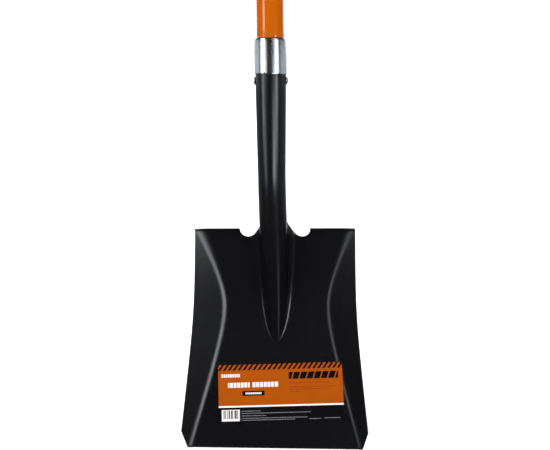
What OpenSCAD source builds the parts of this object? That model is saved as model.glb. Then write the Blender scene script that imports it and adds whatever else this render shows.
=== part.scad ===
// Square-mouth shovel: a pressed and rolled steel blade with an open-backed
// socket, a glass-fibre shaft, a plated ferrule and a moulded D-grip.
// Millimetres. Z runs up the shaft's axis, -Y is the front (hollow) side of the
// blade, and the origin is the middle of the cutting edge.

/* [Blade] */
// Width across the two mouth corners, the widest place
blade_w = 242; // [230:1:250]
// Width across the shoulders
shoulder_w = 208; // [200:1:212]
// Height of the foot treads above the cutting edge
blade_h = 283; // [280:1:292]
// Thickness of the steel sheet
sheet_t = 1.8; // [1.5:0.1:2]
// Angle in degrees between the rim of the dish and the shaft
blade_lean = 7; // [6:0.5:8]
// Rise of the side wings for each millimetre outwards
wing_slope = 0.63; // [0.5:0.01:0.7]
// Flat width of the dish at its waist
waist_w = 135.6; // [130:0.5:140]
// Height of the waist, where the dish is deepest
waist_z = 180; // [170:1:190]
// Half the width over which a crease between dish and wing is rounded
crease_r = 6; // [4:0.5:7]
// Height of the slanted cut at each mouth corner
corner_h = 22; // [15:1:30]
// Width of the slanted cut at each mouth corner
corner_cut = 7.5; // [4:0.5:10]
// How far the foot treads are turned forward
tread_reach = 7; // [5:0.5:9]

/* [Socket] */
// Height of the socket's mouth above the cutting edge
socket_top = 522; // [510:1:524]
// Outer diameter of the socket at its mouth
mouth_d = 39.1; // [38.8:0.1:39.4]
// Outer diameter of the socket where it is narrowest
neck_d = 35.5; // [35:0.1:36]
// Backward angle in degrees of the lower socket and the ridge
crank = 11.1; // [10.7:0.1:11.6]
// Concave radius beside the ridge where it enters the dish, by the shoulders
ridge_fillet = 12.5; // [12:0.5:15]
// Width of the open seam down the back of the socket
seam_w = 2; // [1:0.5:3]
// Height of the rivet through the socket
rivet_z = 473; // [470:1:474]

/* [Shaft] */
// Outer diameter of the shaft
shaft_d = 35.6; // [35.2:0.1:35.8]
// Bore of the shaft
shaft_bore = 26.2; // [24:0.1:27]
// Length of the ferrule
ferrule_l = 46; // [44:1:50]
// Outer diameter of the ferrule
ferrule_d = 41.6; // [40.8:0.1:42.6]

/* [Grip] */
// Height of the whole shovel
overall_h = 1043; // [1000:1:1150]
// Width across the outside of the grip's arms
grip_w = 140; // [134:1:146]
// Thickness of each arm, seen from the front
arm_w = 21; // [19:0.5:23]
// Depth of each arm, from front to back
arm_depth = 27; // [24:0.5:30]
// Outer diameter of the soft sleeve on the hand bar
sleeve_d = 32; // [30:0.5:34]

/* [Label] */
// Width of the paper label on the dish
label_w = 163; // [100:1:165]
// Height of the paper label
label_h = 73; // [50:1:78]
// Tilt of the label in degrees, right end up
label_tilt = 2.1; // [0:0.1:3]

/* [Hidden] */
$fn = 64;

// Gap left between pieces that touch, the extra length of a cutting tool, and the
// size of a small chamfer
gap = 0.05;
past = 1;
chamfer = 1;

// --- the blade's outline and dish ---------------------------------------------
// The sides are straight by the shoulders and spread smoothly towards the mouth.
spread_z = 175;
spread_soft = 50;
function spread(z) =
    let (d = spread_z - z) (d + sqrt(d * d + spread_soft * spread_soft)) / 2;
spread_rate = (blade_w - shoulder_w) / 2 / (spread(corner_h) - spread(blade_h));
function side_x(z) = shoulder_w / 2 + spread_rate * (spread(z) - spread(blade_h));
function rim_x(z) =
    min(side_x(z), blade_w / 2 - corner_cut * max(0, 1 - z / corner_h));

// The creases bow apart above and below the waist, more quickly upwards.
waist_soft = 40;
splay_up = 0.43;
splay_down = 0.296;
function crease_bow(z) =
    let (d = z - waist_z) sqrt(d * d + waist_soft * waist_soft) - waist_soft;
function crease_x(z) = waist_w / 2 + (z > waist_z ? splay_up : splay_down) * crease_bow(z);

// Depth of the flat of the dish behind the rim, and the sheet's place at any x, z.
function depth(z) = wing_slope * (side_x(z) - crease_x(z));
function rounded(a, r) = a < -r ? 0 : a > r ? a : (a + r) * (a + r) / (4 * r);
function dish_y(z) = z * tan(blade_lean) - depth(0) + depth(z);
function sheet_y(x, z) =
    dish_y(z) - wing_slope * rounded(abs(x) - crease_x(z), crease_r);

// --- the ridge and the socket -------------------------------------------------
// The tube is upright in its upper part, bends back through a crank, and sinks
// through the dish at the foot of the ridge.
bend_top = 366;
bend_bottom = 316;
bend_run = bend_top - bend_bottom;
function tube_y(z) = tan(crank) * (
    z > bend_top ? 0
    : z > bend_bottom ? (bend_top - z) * (bend_top - z) / (2 * bend_run)
    : (bend_top + bend_bottom) / 2 - z);

taper_bottom = 355;
taper_top = 462;
nose_z = 125;
nose_r = 9;
nose_ease = 1.5;
nose_fillet = 4;
ridge_top = 280;
function part_way(z, z0, z1) = min(1, max(0, (z - z0) / (z1 - z0)));
function tube_r(z) =
    let (up = part_way(z, taper_bottom, taper_top),
         down = 1 - part_way(z, nose_z, ridge_top),
         neck_r = neck_d / 2)
    neck_r + up * (mouth_d / 2 - neck_r) - pow(down, nose_ease) * (neck_r - nose_r)
    - sheet_t / 2;

// Half of a ridge section, from its crest (u = 0) to the edge of the middle
// strip of sheet (u = 1): an arc, a straight flank, a fillet and the dish.
strip_x = 33;
function ridge_xy(u, z, trim) =
    let (r = tube_r(z), rise = dish_y(z) - tube_y(z),
         f = nose_fillet + part_way(z, nose_z, ridge_top) * (ridge_fillet - nose_fillet))
    rise <= -r ? [u * strip_x, dish_y(z)]
    : let (
        back = rise - f,
        flare_x = back >= 0 ? r + f : sqrt((r + f) * (r + f) - back * back),
        turn = back >= 0 ? 90 : atan2(flare_x, -back),
        arc = r * turn * PI / 180,
        flank = max(0, back),
        fillet = f * turn * PI / 180,
        s = u * (arc + flank + fillet + strip_x - flare_x - trim))
    s < arc ? let (a = s / r * 180 / PI) [r * sin(a), tube_y(z) - r * cos(a)]
    : s < arc + flank ? [r, tube_y(z) + s - arc]
    : s < arc + flank + fillet ?
        let (a = turn - (s - arc - flank) / f * 180 / PI)
        [flare_x - f * sin(a), tube_y(z) + back + f * cos(a)]
    : [flare_x + s - arc - flank - fillet, dish_y(z)];

// Half of a closed socket section, from the front (u = 0) to the seam (u = 1).
function tube_xy(u, z) =
    let (r = tube_r(z), a = u * (180 - seam_w / 2 / r * 180 / PI))
    [r * sin(a), tube_y(z) - r * cos(a)];

// Round relief notches part the strip from the shoulders. Above them its edges
// wrap round behind the tube and meet.
notch_z = 272;
notch_mid = 35.5;
notch_r = 10.5;
notch_trim = 5.5;
wrap_bottom = 275;
wrap_top = 330;
wrap_soft = 3;
wrap_ease = 1.7;
function notch_side(h) = sqrt(notch_r * notch_r - pow(max(0, notch_r - h), 2));
function strip_xy(u, z) =
    let (t = min(1, rounded(z - wrap_bottom, wrap_soft) / (wrap_top - wrap_bottom)),
         k = 1 - pow(1 - t, wrap_ease),
         cut = z > notch_z ? strip_x - notch_mid + notch_side(z - notch_z) : 0,
         trim = min(notch_trim, max(0, cut)))
    ridge_xy(u, z, trim) * (1 - k) + tube_xy(u, z) * k;

// --- the sheet as a grid ------------------------------------------------------
// Rows go up. Columns go out from the middle: the strip, then the shoulder.
strip_cols = 11;
outer_rows = 21;
low_rows = [0, 3, 10, 17, 22, 34, 50, 68, 88, 108, 126, 132, 136, 141, 148, 160,
            176, 195, 215, 236, 250, 257, 262.5, 267.8, 269.2, 270.6, notch_z];
tube_rows = [272.7, 273.7, 275.2, 277.5, 281, 285, 289, 294, 300, 307, 314, 321,
             wrap_top, 340, 349, 358, bend_top, 400, taper_top, socket_top];
row_z = concat(low_rows, tube_rows);
low_last = len(low_rows) - 1;
row_last = len(row_z) - 1;

// The shoulder's top edge, measured along the sheet: a round notch by the
// socket, then a tread that is bent forward.
bend_r = 3;
tread_z = blade_h - sheet_t / 2;
tread_path = tread_z - bend_r + bend_r * PI / 2 + tread_reach - bend_r;
function top_path(x) =
    x <= notch_mid ? notch_z
    : x < notch_mid + notch_r ?
        notch_z + notch_r - sqrt(notch_r * notch_r - pow(x - notch_mid, 2))
    : tread_path;
// Height and forward reach of a point at distance s up the sheet
function tread_zy(s) =
    let (start = tread_z - bend_r, a = (s - start) / bend_r * 180 / PI)
    s <= start ? [s, 0]
    : a < 90 ? [start + bend_r * sin(a), bend_r * (1 - cos(a))]
    : [tread_z, s - start - bend_r * PI / 2 + bend_r];

notch_steps = [36.5, 39.5, 42.5, 45, 46.2, 50];
crease_steps = [-1, -0.35, 0.35, 1];
crease_share = 0.45;
panel_steps = [1 / 3, 2 / 3];
function outer_x(m, z) =
    let (c = crease_x(z), w = rim_x(z), e = min(crease_r, crease_share * (w - c)),
         n = len(notch_steps), last = notch_steps[n - 1], p = len(panel_steps),
         q = len(crease_steps))
    m <= n ? notch_steps[m - 1]
    : m <= n + p ? last + panel_steps[m - n - 1] * (c - e - last)
    : m <= n + p + q ? c + e * crease_steps[m - n - p - 1]
    : m == n + p + q + 1 ? (c + e + w) / 2
    : w;
outer_cols = len(notch_steps) + len(panel_steps) + len(crease_steps) + 2;
cols = strip_cols + outer_cols;

function outer_point(m, i) =
    let (z0 = row_z[i], zs = row_z[outer_rows],
         x = outer_x(m, z0),
         up = max(0, (z0 - zs) / (notch_z - zs)),
         s = up > 0 ? zs + up * (top_path(x) - zs) : z0,
         zy = tread_zy(s))
    [x, sheet_y(x, min(zy[0], blade_h)) - zy[1], zy[0]];

function half_point(i, m) =
    m <= strip_cols ?
        let (xy = strip_xy(m / strip_cols, row_z[i])) [xy[0], xy[1], row_z[i]]
    : outer_point(m - strip_cols, min(i, low_last));
function mirrored(p, side) = [p[0] * side, p[1], p[2]];

// The middle surface of the sheet, then each of its points' normals
mid = [for (i = [0:row_last]) [for (j = [-cols:cols])
    mirrored(half_point(i, abs(j)), j < 0 ? -1 : 1)]];
function has(i, j) =
    i >= 0 && j >= 0 && i <= row_last && j <= 2 * cols
    && (i <= low_last || abs(j - cols) <= strip_cols);
function at(i, j, di, dj) = has(i + di, j + dj) ? mid[i + di][j + dj] : mid[i][j];
function normal(i, j) =
    let (n = cross(at(i, j, 0, 1) - at(i, j, 0, -1), at(i, j, 1, 0) - at(i, j, -1, 0)))
    n / norm(n);
// The cut edges at the mouth stay level.
function level(n, i) = i == 0 ? let (f = [n[0], n[1], 0]) f / norm(f) : n;
function skin(side) = [for (i = [0:row_last]) for (j = [0:2 * cols])
    has(i, j) ? mid[i][j] + level(normal(i, j), i) * side * sheet_t / 2 : mid[i][j]];

row_len = 2 * cols + 1;
back_at = (row_last + 1) * row_len;
function id(i, j) = i * row_len + j;
function cell(i, j) = has(i, j) && has(i + 1, j) && has(i, j + 1) && has(i + 1, j + 1);
cells = [for (i = [0:row_last - 1]) for (j = [0:2 * cols - 1]) if (cell(i, j)) [i, j]];
// Ends of a cell's side in each direction, in the order that faces outwards
sides = [[0, -1, 1, 0, 0, 0], [0, 1, 0, 1, 1, 1], [-1, 0, 0, 0, 0, 1], [1, 0, 1, 1, 1, 0]];
function edge_faces(c) = [for (s = sides)
    if (!cell(c[0] + s[0], c[1] + s[1]))
        let (a = id(c[0] + s[2], c[1] + s[3]), b = id(c[0] + s[4], c[1] + s[5]))
        each [[a, b, b + back_at], [a, b + back_at, a + back_at]]];
function cell_faces(c) =
    let (a = id(c[0], c[1]), b = a + 1, d = a + row_len, e = d + 1)
    [[a, d, e], [a, e, b],
     [a + back_at, e + back_at, d + back_at], [a + back_at, b + back_at, e + back_at]];

// --- rivets, shaft and grip ---------------------------------------------------
rivet_r = 3;
rivet_head_r = 5;
rivet_head_h = 2.4;
ferrule_top = 527;
ferrule_lip = 2.4;
ferrule_corner = 1;
lip_steps = 6;
spigot_gap = 0.3;
spigot_bottom = 372;
dowel_gap = 0.1;
lower_dowel_top = 545;

// The hand bar and the ends of the arms that hold it
boss_r = 17.5;
boss_l = 20;
boss_edge = 4;
boss_inner_edge = 1.5;
bar_z = overall_h - boss_r;
bar_r = 13;
bar_end = grip_w / 2 - boss_l;
sleeve_play = 0.5;
sleeve_edge = 1.5;
rod_r = 4;
rod_head_r = 7;
rod_head_h = 2.4;
washer_t = 1.5;
washer_r = 9;
rivet_washer_r = 8;
pocket_r = 10;
sink = 3;

// The arms, from the bar down
arm_x = (grip_w - arm_w) / 2;
arm_turn = 75;
arm_straight = 39;
shoulder_r = 34;
foot_r = 30;
foot_x = 12;
section_steps = 24;
section_square = 0.75;
rise_foot = foot_r * sin(arm_turn);
rise_shoulder = shoulder_r * sin(arm_turn);
foot_z = bar_z - arm_straight - rise_shoulder - rise_foot;
run_out = foot_r * (1 - cos(arm_turn)) + shoulder_r * (1 - cos(arm_turn));
arm_cross = arm_x - foot_x - run_out;
// How far the straight stretches of an arm run into its bends
arm_lap = 0.6;

// The neck that takes the shaft: a tapered cup with a bead and a rounded top
neck_l = 58;
neck_r0 = 21.6;
neck_r1 = 23.4;
bead_out = 1.4;
bead_h = 5;
bead_slope = 2;
neck_cap = 26;
cap_steps = 8;
neck_bottom = foot_z - neck_l;
shaft_top = foot_z + 10;
grip_rivet_z = neck_bottom + 32;
upper_dowel_bottom = grip_rivet_z - 45;

label_x = 6.9;
label_z = 69.9;
label_t = 0.3;
label_lift = 0.35;
label_cols = 26;
label_rows = 9;

// Round-cornered section of an arm, w across and d deep
function squared(c) = sign(c) * pow(abs(c), section_square);
function arm_section(w, d) = [for (k = [0:section_steps - 1])
    let (a = k * 360 / section_steps) [w / 2 * squared(cos(a)), d / 2 * squared(sin(a))]];

// Profile of a dome that is r wide and h high, standing on y = 0
dome_steps = 8;
dome_rim = 0.25;
function dome_points(r, h) = concat([[0, 0], [r, 0]],
    [for (k = [0:dome_steps - 1]) let (a = k * 90 / dome_steps)
        [r * cos(a), h * (dome_rim + (1 - dome_rim) * sin(a))]],
    [[0, h]]);

// A through rivet along X, with domed heads outside half length reach
module cross_rivet(reach, r, head_r, head_h) {
    rotate([0, 90, 0]) {
        translate([0, 0, -reach]) cylinder(r = r, h = 2 * reach);
        for (s = [-1, 1])
            translate([0, 0, s * reach]) rotate([s < 0 ? 180 : 0, 0, 0])
                rotate_extrude() polygon(dome_points(head_r, head_h));
    }
}

module blade() {
    color("#1b1b1e") difference() {
        polyhedron(concat(skin(1), skin(-1)),
            concat([for (c = cells) each cell_faces(c)], [for (c = cells) each edge_faces(c)]));
        translate([-shaft_d, 0, rivet_z]) rotate([0, 90, 0])
            cylinder(r = rivet_r + gap, h = 2 * shaft_d);
    }
}

module socket_rivet() {
    color("silver") translate([0, 0, rivet_z])
        cross_rivet(mouth_d / 2 + gap, rivet_r, rivet_head_r, rivet_head_h);
}

module ferrule() {
    r = ferrule_d / 2;
    inner = mouth_d / 2 + gap;
    lip = shaft_d / 2 + gap;
    wall = r - inner;
    color("#c9cdd2") translate([0, 0, ferrule_top]) rotate_extrude() polygon(concat(
        [[inner, -ferrule_l], [r, -ferrule_l]],
        [for (k = [0:lip_steps]) let (a = k * 90 / lip_steps)
            [r - ferrule_lip + ferrule_lip * cos(a), -ferrule_lip + ferrule_lip * sin(a)]],
        [[lip, 0], [lip, -wall - ferrule_corner], [inner, -ferrule_lip - wall]]));
}

module shaft_tube() {
    r = shaft_d / 2;
    color("#e07a10") difference() {
        rotate_extrude() polygon([
            [0, spigot_bottom], [neck_d / 2 - sheet_t - spigot_gap, spigot_bottom],
            [mouth_d / 2 - sheet_t - spigot_gap, taper_top],
            [mouth_d / 2 - sheet_t - spigot_gap, socket_top],
            [r, socket_top + gap], [r, shaft_top - chamfer], [r - chamfer, shaft_top],
            [0, shaft_top]]);
        translate([0, 0, spigot_bottom - past])
            cylinder(d = shaft_bore, h = shaft_top - spigot_bottom + 2 * past);
        translate([-shaft_d, 0, rivet_z]) rotate([0, 90, 0])
            cylinder(r = rivet_r + gap, h = 2 * shaft_d);
        translate([0, shaft_d, grip_rivet_z]) rotate([90, 0, 0])
            cylinder(r = rivet_r + gap, h = 2 * shaft_d);
    }
}

module dowel(z0, z1, cross_z, turn) {
    r = shaft_bore / 2 - dowel_gap;
    difference() {
        translate([0, 0, z0]) rotate_extrude() polygon([
            [0, 0], [r - chamfer, 0], [r, chamfer], [r, z1 - z0 - chamfer],
            [r - chamfer, z1 - z0], [0, z1 - z0]]);
        translate([0, 0, cross_z]) rotate([0, 0, turn]) rotate([0, 90, 0])
            translate([0, 0, -shaft_d]) cylinder(r = rivet_r + gap, h = 2 * shaft_d);
    }
}

module lower_dowel() {
    color("burlywood") dowel(spigot_bottom + past, lower_dowel_top, rivet_z, 0);
}

module upper_dowel() {
    color("burlywood") dowel(upper_dowel_bottom, shaft_top - past, grip_rivet_z, 90);
}

// One arm: out of the neck, round the shoulder and up to the bar
module arm() {
    section = arm_section(arm_w, arm_depth);
    end_x = foot_x + foot_r * (1 - cos(arm_turn));
    translate([foot_x + foot_r, 0, foot_z]) rotate([90, 0, 0])
        rotate([0, 0, 180 - arm_turn]) rotate_extrude(angle = arm_turn)
            translate([foot_r, 0]) polygon(section);
    translate([end_x, 0, foot_z + rise_foot]) rotate([0, arm_turn, 0])
        translate([0, 0, -arm_lap])
            linear_extrude(arm_cross / sin(arm_turn) + 2 * arm_lap) polygon(section);
    translate([arm_x - shoulder_r, 0, bar_z - arm_straight]) rotate([90, 0, 0])
        rotate([0, 0, -arm_turn]) rotate_extrude(angle = arm_turn)
            translate([shoulder_r, 0]) polygon(section);
    translate([arm_x, 0, bar_z - arm_straight - arm_lap])
        linear_extrude(arm_straight + arm_lap) polygon(section);
    translate([bar_end, 0, bar_z]) rotate([0, 90, 0]) rotate_extrude()
        polygon([[0, 0], [boss_r - boss_inner_edge, 0], [boss_r, boss_inner_edge],
                 [boss_r, boss_l - boss_edge], [boss_r - boss_edge, boss_l], [0, boss_l]]);
}

module grip_yoke() {
    color("#202022") difference() {
        union() {
            for (s = [0, 1]) mirror([s, 0, 0]) arm();
            translate([0, 0, neck_bottom]) rotate_extrude() polygon(concat(
                [[0, 0], [neck_r0 + bead_out - chamfer, 0], [neck_r0 + bead_out, chamfer],
                 [neck_r0 + bead_out, bead_h], [neck_r0, bead_h + bead_slope]],
                [for (k = [0:cap_steps - 1]) let (a = k * 90 / cap_steps)
                    [neck_r1 * cos(a), neck_l + neck_cap * sin(a)]],
                [[0, neck_l + neck_cap]]));
        }
        translate([0, 0, neck_bottom - past])
            cylinder(d = shaft_d + 2 * gap, h = shaft_top - neck_bottom + past + gap);
        translate([0, shaft_d, grip_rivet_z]) rotate([90, 0, 0])
            cylinder(r = rivet_r + gap, h = 2 * shaft_d);
        translate([-grip_w, 0, bar_z]) rotate([0, 90, 0])
            cylinder(r = rod_r + gap, h = 2 * grip_w);
        for (s = [0, 1]) mirror([s, 0, 0])
            translate([grip_w / 2 - sink, 0, bar_z]) rotate([0, 90, 0])
                cylinder(r = pocket_r, h = sink + past);
    }
}

module grip_rivet() {
    color("silver") translate([0, 0, grip_rivet_z]) rotate([0, 0, 90])
        cross_rivet(neck_r1 + washer_t + gap, rivet_r, rivet_head_r, rivet_head_h);
}

// A washer whose inner side is z = 0
module washer(r, hole_r) {
    difference() {
        cylinder(r = r, h = washer_t);
        translate([0, 0, -past]) cylinder(r = hole_r, h = washer_t + 2 * past);
    }
}

module grip_rivet_washers() {
    color("silver") for (s = [-90, 90]) translate([0, 0, grip_rivet_z])
        rotate([s, 0, 0]) translate([0, 0, neck_r1]) washer(rivet_washer_r, rivet_r + gap);
}

module hand_bar() {
    color("burlywood") translate([-bar_end + gap, 0, bar_z]) rotate([0, 90, 0]) difference() {
        cylinder(r = bar_r, h = 2 * (bar_end - gap));
        translate([0, 0, -past]) cylinder(r = rod_r + gap, h = 2 * (bar_end + past));
    }
}

module hand_bar_sleeve() {
    l = 2 * (bar_end - sleeve_play);
    r = sleeve_d / 2;
    color("#2b2b2d") translate([-l / 2, 0, bar_z]) rotate([0, 90, 0]) rotate_extrude()
        polygon([[bar_r + gap, 0], [r - sleeve_edge, 0], [r, sleeve_edge],
                 [r, l - sleeve_edge], [r - sleeve_edge, l], [bar_r + gap, l]]);
}

module hand_bar_rod() {
    color("silver") translate([0, 0, bar_z])
        cross_rivet(grip_w / 2 - sink + washer_t + gap, rod_r, rod_head_r, rod_head_h);
}

module rod_washers() {
    color("silver") for (s = [0, 1]) mirror([s, 0, 0])
        translate([grip_w / 2 - sink, 0, bar_z]) rotate([0, 90, 0])
            washer(washer_r, rod_r + gap);
}

// The label follows the sheet, and its right end bends up on the wing.
function label_point(a, b, lift) =
    let (x = label_x + a * cos(label_tilt) - b * sin(label_tilt),
         z = label_z + a * sin(label_tilt) + b * cos(label_tilt))
    [x, sheet_y(x, z) - sheet_t / 2 / cos(atan(wing_slope)) - lift, z];
module blade_label() {
    n = label_cols;
    m = label_rows;
    w = n + 1;
    half = w * (m + 1);
    points = [for (lift = [label_lift, label_lift + label_t]) for (i = [0:m]) for (j = [0:n])
        label_point((j / n - 0.5) * label_w, (i / m - 0.5) * label_h, lift)];
    rim = concat([for (j = [0:n]) j], [for (i = [1:m]) i * w + n],
        [for (j = [1:n]) m * w + n - j], [for (i = [1:m - 1]) (m - i) * w]);
    count = len(rim);
    color("orange") polyhedron(points, concat(
        [for (i = [0:m - 1]) for (j = [0:n - 1]) let (a = i * w + j)
            each [[a, a + 1, a + w + 1], [a, a + w + 1, a + w],
                  [half + a, half + a + w + 1, half + a + 1],
                  [half + a, half + a + w, half + a + w + 1]]],
        [for (k = [0:count - 1]) let (a = rim[k], b = rim[(k + 1) % count])
            each [[b, a, half + a], [b, half + a, half + b]]]));
}

blade();
socket_rivet();
ferrule();
shaft_tube();
lower_dowel();
upper_dowel();
grip_yoke();
grip_rivet();
grip_rivet_washers();
hand_bar();
hand_bar_sleeve();
hand_bar_rod();
rod_washers();
blade_label();
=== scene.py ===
"""A square-mouth shovel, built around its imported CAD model.

The part's frame is in metres, +Z up the shaft and -Y the front. Shapes are worked out in millimetres.
"""

from math import acos, atan2, ceil, copysign, cos, hypot, pi, radians, sin, sqrt, tan

import bpy
import numpy as np
from mathutils import Matrix, Vector


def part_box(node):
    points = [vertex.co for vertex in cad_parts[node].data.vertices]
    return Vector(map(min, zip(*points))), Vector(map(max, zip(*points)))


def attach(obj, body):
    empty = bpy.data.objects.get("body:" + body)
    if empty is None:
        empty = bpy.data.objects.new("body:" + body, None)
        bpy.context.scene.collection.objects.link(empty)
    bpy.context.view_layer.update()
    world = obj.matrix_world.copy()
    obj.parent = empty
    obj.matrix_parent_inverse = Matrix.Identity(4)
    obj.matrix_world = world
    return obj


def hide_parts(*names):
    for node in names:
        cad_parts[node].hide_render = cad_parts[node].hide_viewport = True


MM = 0.001
TINY = 1e-6
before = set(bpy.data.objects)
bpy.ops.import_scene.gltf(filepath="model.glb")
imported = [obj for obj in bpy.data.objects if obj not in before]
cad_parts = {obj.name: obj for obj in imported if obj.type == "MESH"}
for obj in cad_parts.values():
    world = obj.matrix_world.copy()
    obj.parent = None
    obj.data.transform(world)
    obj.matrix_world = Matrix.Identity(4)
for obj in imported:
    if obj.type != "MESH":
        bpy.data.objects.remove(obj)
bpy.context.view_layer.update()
scene = bpy.context.scene


# --- meshes ---
def make_object(name, points, faces, sharp_deg=35.0):
    """A smooth-shaded mesh object from points in millimetres."""
    mesh = bpy.data.meshes.new(name)
    mesh.from_pydata([tuple(float(c) * MM for c in p) for p in points], [], faces)
    mesh.validate()
    mesh.update()
    mesh.polygons.foreach_set("use_smooth", [True] * len(mesh.polygons))
    if sharp_deg:
        mesh.set_sharp_from_angle(angle=radians(sharp_deg))
    obj = bpy.data.objects.new(name, mesh)
    scene.collection.objects.link(obj)
    return obj


def dress(obj, node, material):
    """The finished piece rides on the part's one body, stands for its CAD node and takes a slot."""
    obj.data.materials.clear()
    obj.data.materials.append(material)
    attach(obj, "root")
    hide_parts(node)


FLAT_CORNER = radians(80)
CORNER_SHARE = 0.45


def rounded_corners(points, radius, steps=4):
    """A closed outline of (r, h) points with each corner rounded, except on the axis.

    Corners flatter than FLAT_CORNER stay, and a cut takes at most CORNER_SHARE of a side.
    """
    out = []
    n = len(points)
    for k in range(n):
        p = np.array(points[k], float)
        before = np.array(points[k - 1], float) - p
        after = np.array(points[(k + 1) % n], float) - p
        lb, la = np.linalg.norm(before), np.linalg.norm(after)
        if min(p[0], lb, la) < TINY:
            out.append(tuple(p))
            continue
        cosine = float(np.clip(before @ after / (lb * la), -1, 1))
        half = acos(cosine) / 2
        if half > FLAT_CORNER:
            out.append(tuple(p))
            continue
        cut = min(radius / tan(half), CORNER_SHARE * lb, CORNER_SHARE * la)
        a, b = p + before / lb * cut, p + after / la * cut
        for s in range(steps + 1):
            t = s / steps
            q = (1 - t) ** 2 * a + 2 * t * (1 - t) * p + t * t * b
            out.append(tuple(q))
    return out


def lathe(points, axis="Z", centre=(0, 0, 0), segments=96, flip=False):
    """Points and faces of a closed solid turned from a closed (r, h) outline in millimetres."""
    verts, faces, rings = [], [], []
    for r, h in points:
        ring = []
        for s in range(1 if r < TINY else segments):
            a = 2 * pi * s / segments
            ring.append(len(verts))
            verts.append((r * cos(a), r * sin(a), h))
        rings.append(ring)
    count = len(rings)
    for k in range(count):
        lo, hi = rings[k], rings[(k + 1) % count]
        if len(lo) == 1 and len(hi) == 1:
            continue
        for s in range(segments):
            t = (s + 1) % segments
            if len(lo) == 1:
                faces.append((lo[0], hi[t], hi[s]))
            elif len(hi) == 1:
                faces.append((lo[s], lo[t], hi[0]))
            else:
                faces.append((lo[s], lo[t], hi[t], hi[s]))
    if axis == "X":
        verts = [(h, x, y) for x, y, h in verts]
    elif axis == "Y":
        verts = [(y, h, x) for x, y, h in verts]
    if flip:
        faces = [tuple(reversed(f)) for f in faces]
    verts = [(x + centre[0], y + centre[1], z + centre[2]) for x, y, z in verts]
    return verts, faces


def joined(*parts):
    """Several (points, faces) as one."""
    verts, faces = [], []
    for v, f in parts:
        base = len(verts)
        verts += list(v)
        faces += [tuple(i + base for i in face) for face in f]
    return verts, faces


# --- shader helpers ---
NOISE_SPAN = (0.3, 0.7)  # most of a noise texture's values lie between these
MIX_COLOUR_INPUTS, MIX_COLOUR_OUTPUT = (0, 6, 7), 2  # factor and colours of a Mix node


class Shader:
    """Builds one node tree with few words."""

    def __init__(self, name):
        self.material = bpy.data.materials.new(name)
        self.material.use_nodes = True
        self.tree = self.material.node_tree
        self.tree.nodes.clear()
        self.out = self.node("ShaderNodeOutputMaterial")
        self.place = self.node("ShaderNodeTexCoord")

    def node(self, kind, inputs=None, **props):
        made = self.tree.nodes.new(kind)
        for key, value in props.items():
            setattr(made, key, value)
        for key, value in (inputs or {}).items():
            self.feed(made.inputs[key], value)
        return made

    def feed(self, socket, value):
        """Link value to socket, or set it there when it is a plain value."""
        if isinstance(value, bpy.types.NodeSocket):
            self.tree.links.new(value, socket)
        else:
            socket.default_value = value

    def math(self, operation, *values):
        return self.node("ShaderNodeMath", dict(enumerate(values)), operation=operation).outputs[0]

    def plus(self, a, b):
        return self.math("ADD", a, b)

    def minus(self, a, b):
        return self.math("SUBTRACT", a, b)

    def times(self, a, b):
        return self.math("MULTIPLY", a, b)

    def scaled(self, sx, sy, sz):
        """Object coordinates, which are the part's own metres, scaled along each axis."""
        return self.node("ShaderNodeMapping", {"Vector": self.place.outputs["Object"],
                                               "Scale": (sx, sy, sz)}).outputs[0]

    def noise(self, scale, detail=2.0, roughness=0.5, vector=None, distortion=0.0):
        if vector is None:
            vector = self.place.outputs["Object"]
        return self.node("ShaderNodeTexNoise", {
            "Vector": vector, "Scale": scale, "Detail": detail, "Roughness": roughness,
            "Distortion": distortion}).outputs["Fac"]

    def remap(self, value, span=NOISE_SPAN, to=(0.0, 1.0), smooth=False):
        """value moved from the range span to the range to, and clamped."""
        kind = "SMOOTHSTEP" if smooth else "LINEAR"
        return self.node("ShaderNodeMapRange", {
            "Value": value, "From Min": span[0], "From Max": span[1],
            "To Min": to[0], "To Max": to[1]}, interpolation_type=kind, clamp=True).outputs[0]

    def mix(self, factor, a, b):
        """Colour a, and colour b where factor is 1."""
        a, b = ((*c, 1.0) if isinstance(c, tuple) else c for c in (a, b))
        made = self.node("ShaderNodeMix", data_type="RGBA")
        for index, value in zip(MIX_COLOUR_INPUTS, (factor, a, b)):
            self.feed(made.inputs[index], value)
        return made.outputs[MIX_COLOUR_OUTPUT]

    def bump(self, height, strength, distance, normal=None):
        ins = {"Height": height, "Strength": strength, "Distance": distance}
        if normal is not None:
            ins["Normal"] = normal
        return self.node("ShaderNodeBump", ins).outputs[0]

    def axis(self, name):
        split = self.node("ShaderNodeSeparateXYZ", {"Vector": self.place.outputs["Object"]})
        return split.outputs[name]

    def surface(self, **inputs):
        """The finished material, from Principled inputs with _ for the spaces in their names."""
        bsdf = self.node("ShaderNodeBsdfPrincipled")
        for key, value in inputs.items():
            value = (*value, 1.0) if isinstance(value, tuple) else value
            self.feed(bsdf.inputs[key.replace("_", " ")], value)
        self.tree.links.new(bsdf.outputs[0], self.out.inputs["Surface"])
        return self.material


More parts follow.
